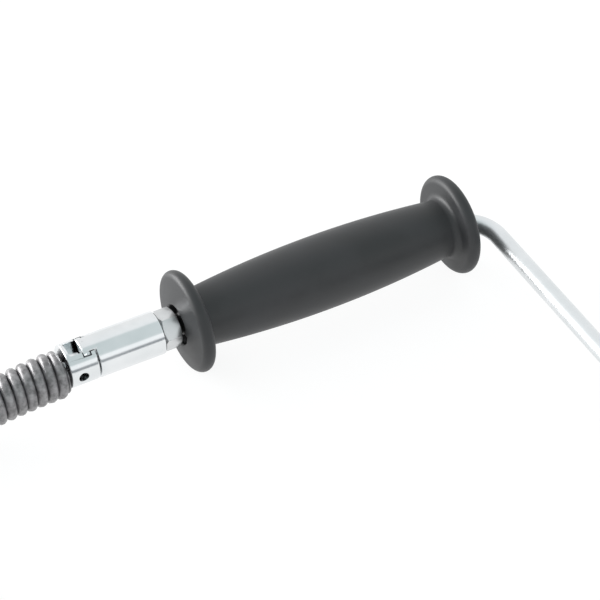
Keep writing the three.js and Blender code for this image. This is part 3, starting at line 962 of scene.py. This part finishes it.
def strapLoop(c, middle):
    bm = bmesh.new()
    bmesh.ops.create_grid(bm, x_segments=1, y_segments=1, size=0.5)
    bmesh.ops.scale(bm, vec=(c["thick"], c["wide"], 1), verts=bm.verts)
    bmesh.ops.bevel(bm, geom=bm.verts[:], offset=c["edge"], offset_type="OFFSET", segments=3,
                    profile=0.5, affect="VERTICES", clamp_overlap=True, material=-1)
    bmesh.ops.translate(bm, vec=middle, verts=bm.verts)
    return bm


def strapShape(c):
    flat = c["half"] - c["corner"]
    bm = strapLoop(c, (c["half"] + c["thick"] / 2, 0, -flat))
    bmesh.ops.delete(bm, geom=bm.faces[:], context="FACES_ONLY")
    loop = bm.edges[:]
    runs = [((0, 0, 1), (flat, 0, flat)), ((-1, 0, 0), (-flat, 0, flat)),
            ((0, 0, -1), (-flat, 0, -flat)), ((1, 0, 0), (flat, 0, -flat))]
    for way, middle in runs:
        loop = onward(bm, loop, [2 * flat * part for part in way])
        ends = list({v for edge in loop for v in edge.verts})
        made = bmesh.ops.spin(
            bm, geom=ends + loop, cent=middle, axis=(0, -1, 0), angle=pi / 2, steps=8,
            use_merge=False, use_normal_flip=False, use_duplicate=False, dvec=(0, 0, 0),
        )
        loop = edgesOf(made["geom_last"])
    return tidy(bm, 0.01)


def tieShape(c):
    out, along, tall = c["head"]
    inner = c["half"] + 0.1
    head = block((inner, -along / 2, -tall / 2), (inner + out, along / 2, tall / 2))
    bmesh.ops.bevel(head, geom=head.edges[:], offset=0.9, offset_type="OFFSET", segments=4,
                    profile=0.5, affect="EDGES", clamp_overlap=True, material=-1)
    slotAt = inner + out / 2 + 0.4
    slot = block((slotAt - 0.9, -c["wide"] / 2 - 0.25, -9), (slotAt + 0.9, c["wide"] / 2 + 0.25, 9))
    tie = carve(carve(strapShape(c), [head], "UNION"), [slot])
    tail = strapLoop(c, (slotAt, 0, -tall / 2 - 0.8))
    rise = vertsOf(bmesh.ops.extrude_face_region(tail, geom=tail.faces[:])["geom"])
    bmesh.ops.translate(tail, vec=(0, 0, tall + 0.8 + c["tailLength"]), verts=rise)
    notches = []
    for i in range(9):
        low = -tall / 2 + 0.6 + i * 1.1
        notches.append(block((slotAt - 0.9, -1.6, low), (slotAt - 0.35, 1.6, low + 0.55)))
    tail = carve(tidy(tail), notches)
    joined = bpy.data.meshes.new("tail")
    tail.to_mesh(joined)
    tail.free()
    tie.from_mesh(joined)
    bpy.data.meshes.remove(joined)
    return tie


for number, angle in enumerate(tieSet["angles"], 1):
    tie = place(tieShape(tieSet), spiralSet["coilRadius"], 0, spiralSet["coilMiddle"])
    place(tie, *spiralSet["coilCentre"], turn=angle)
    tie = addPiece(f"coilTie{number}", tie, blackNylon, smooth=28)
    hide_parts(f"coil_tie_{number}")
print("ties put on")

# Floor and light.
studioSet = {
    "floor": 3.0, "floorColour": (0.14, 0.14, 0.14), "glow": 0.88,
    # The room seen in the metal, by the angle over the tool from its front, in degrees.
    "room": (
        (-180, (1.0, 1.0, 1.0)), (-12, (0.85, 0.86, 0.87)), (-8, (0.30, 0.32, 0.34)),
        (11, (0.34, 0.36, 0.38)), (16, (1.12, 1.14, 1.15)), (33, (1.12, 1.14, 1.15)),
        (39, (0.70, 0.77, 0.78)), (99, (0.71, 0.78, 0.79)), (108, (1.0, 1.02, 1.03)),
        (180, (1.0, 1.0, 1.0)),
    ),
}


def makeStudio(c):
    bm = bmesh.new()
    bmesh.ops.create_grid(bm, x_segments=1, y_segments=1, size=c["floor"])
    mesh = bpy.data.meshes.new("floor")
    bm.to_mesh(mesh)
    bm.free()
    floor = bpy.data.objects.new("floor", mesh)
    bpy.context.collection.objects.link(floor)
    material, tree, shader = newMaterial("paleFloor")
    shader.inputs["Base Color"].default_value = (*c["floorColour"], 1)
    shader.inputs["Roughness"].default_value = 0.9
    shader.inputs["Emission Color"].default_value = (1, 1, 1, 1)
    shader.inputs["Emission Strength"].default_value = c["glow"]
    mesh.materials.append(material)


def makeRoom(c):
    world = bpy.data.worlds.new("studio")
    bpy.context.scene.world = world
    world.use_nodes = True
    tree = world.node_tree
    back = tree.nodes["Background"]
    place = tree.nodes.new("ShaderNodeTexCoord")
    split = tree.nodes.new("ShaderNodeSeparateXYZ")
    link(tree, place, "Generated", split, "Vector")
    front = tree.nodes.new("ShaderNodeMath")
    front.operation = "MULTIPLY"
    front.inputs[1].default_value = -1
    tree.links.new(split.outputs["Y"], front.inputs[0])
    over = tree.nodes.new("ShaderNodeMath")
    over.operation = "ARCTAN2"
    tree.links.new(split.outputs["Z"], over.inputs[0])
    tree.links.new(front.outputs[0], over.inputs[1])
    share = tree.nodes.new("ShaderNodeMapRange")
    share.inputs["From Min"].default_value = -pi
    share.inputs["From Max"].default_value = pi
    tree.links.new(over.outputs[0], share.inputs["Value"])
    ramp = tree.nodes.new("ShaderNodeValToRGB")
    stops = ramp.color_ramp.elements
    for number, (angle, colour) in enumerate(c["room"]):
        place = (angle + 180) / 360
        stop = stops[number] if number < 2 else stops.new(place)
        stop.position = place
        stop.color = (*colour, 1)
    link(tree, share, "Result", ramp, "Fac")
    link(tree, ramp, "Color", back, "Color")
    clear = tree.nodes.new("ShaderNodeBackground")
    clear.inputs["Color"].default_value = (1, 1, 1, 1)
    mix = tree.nodes.new("ShaderNodeMixShader")
    path = tree.nodes.new("ShaderNodeLightPath")
    link(tree, path, "Is Camera Ray", mix, "Fac")
    tree.links.new(back.outputs[0], mix.inputs[1])
    tree.links.new(clear.outputs[0], mix.inputs[2])
    tree.links.new(mix.outputs[0], tree.nodes["World Output"].inputs["Surface"])


backWindow = {
    "place": (-0.78, 0.75, 0.2), "aim": (-0.11, 0.065, 0.02), "size": (0.9, 0.4), "power": 13,
}


def areaLight(name, c):
    data = bpy.data.lights.new(name, "AREA")
    data.shape = "RECTANGLE"
    data.size, data.size_y = c["size"]
    data.energy = c["power"]
    lamp = bpy.data.objects.new(name, data)
    lamp.location = c["place"]
    way = Vector(c["aim"]) - Vector(c["place"])
    lamp.rotation_euler = way.to_track_quat("-Z", "Y").to_euler()
    bpy.context.collection.objects.link(lamp)


makeStudio(studioSet)
makeRoom(studioSet)
areaLight("backWindow", backWindow)
bpy.context.scene.view_settings.view_transform = "Standard"
print("studio lit")
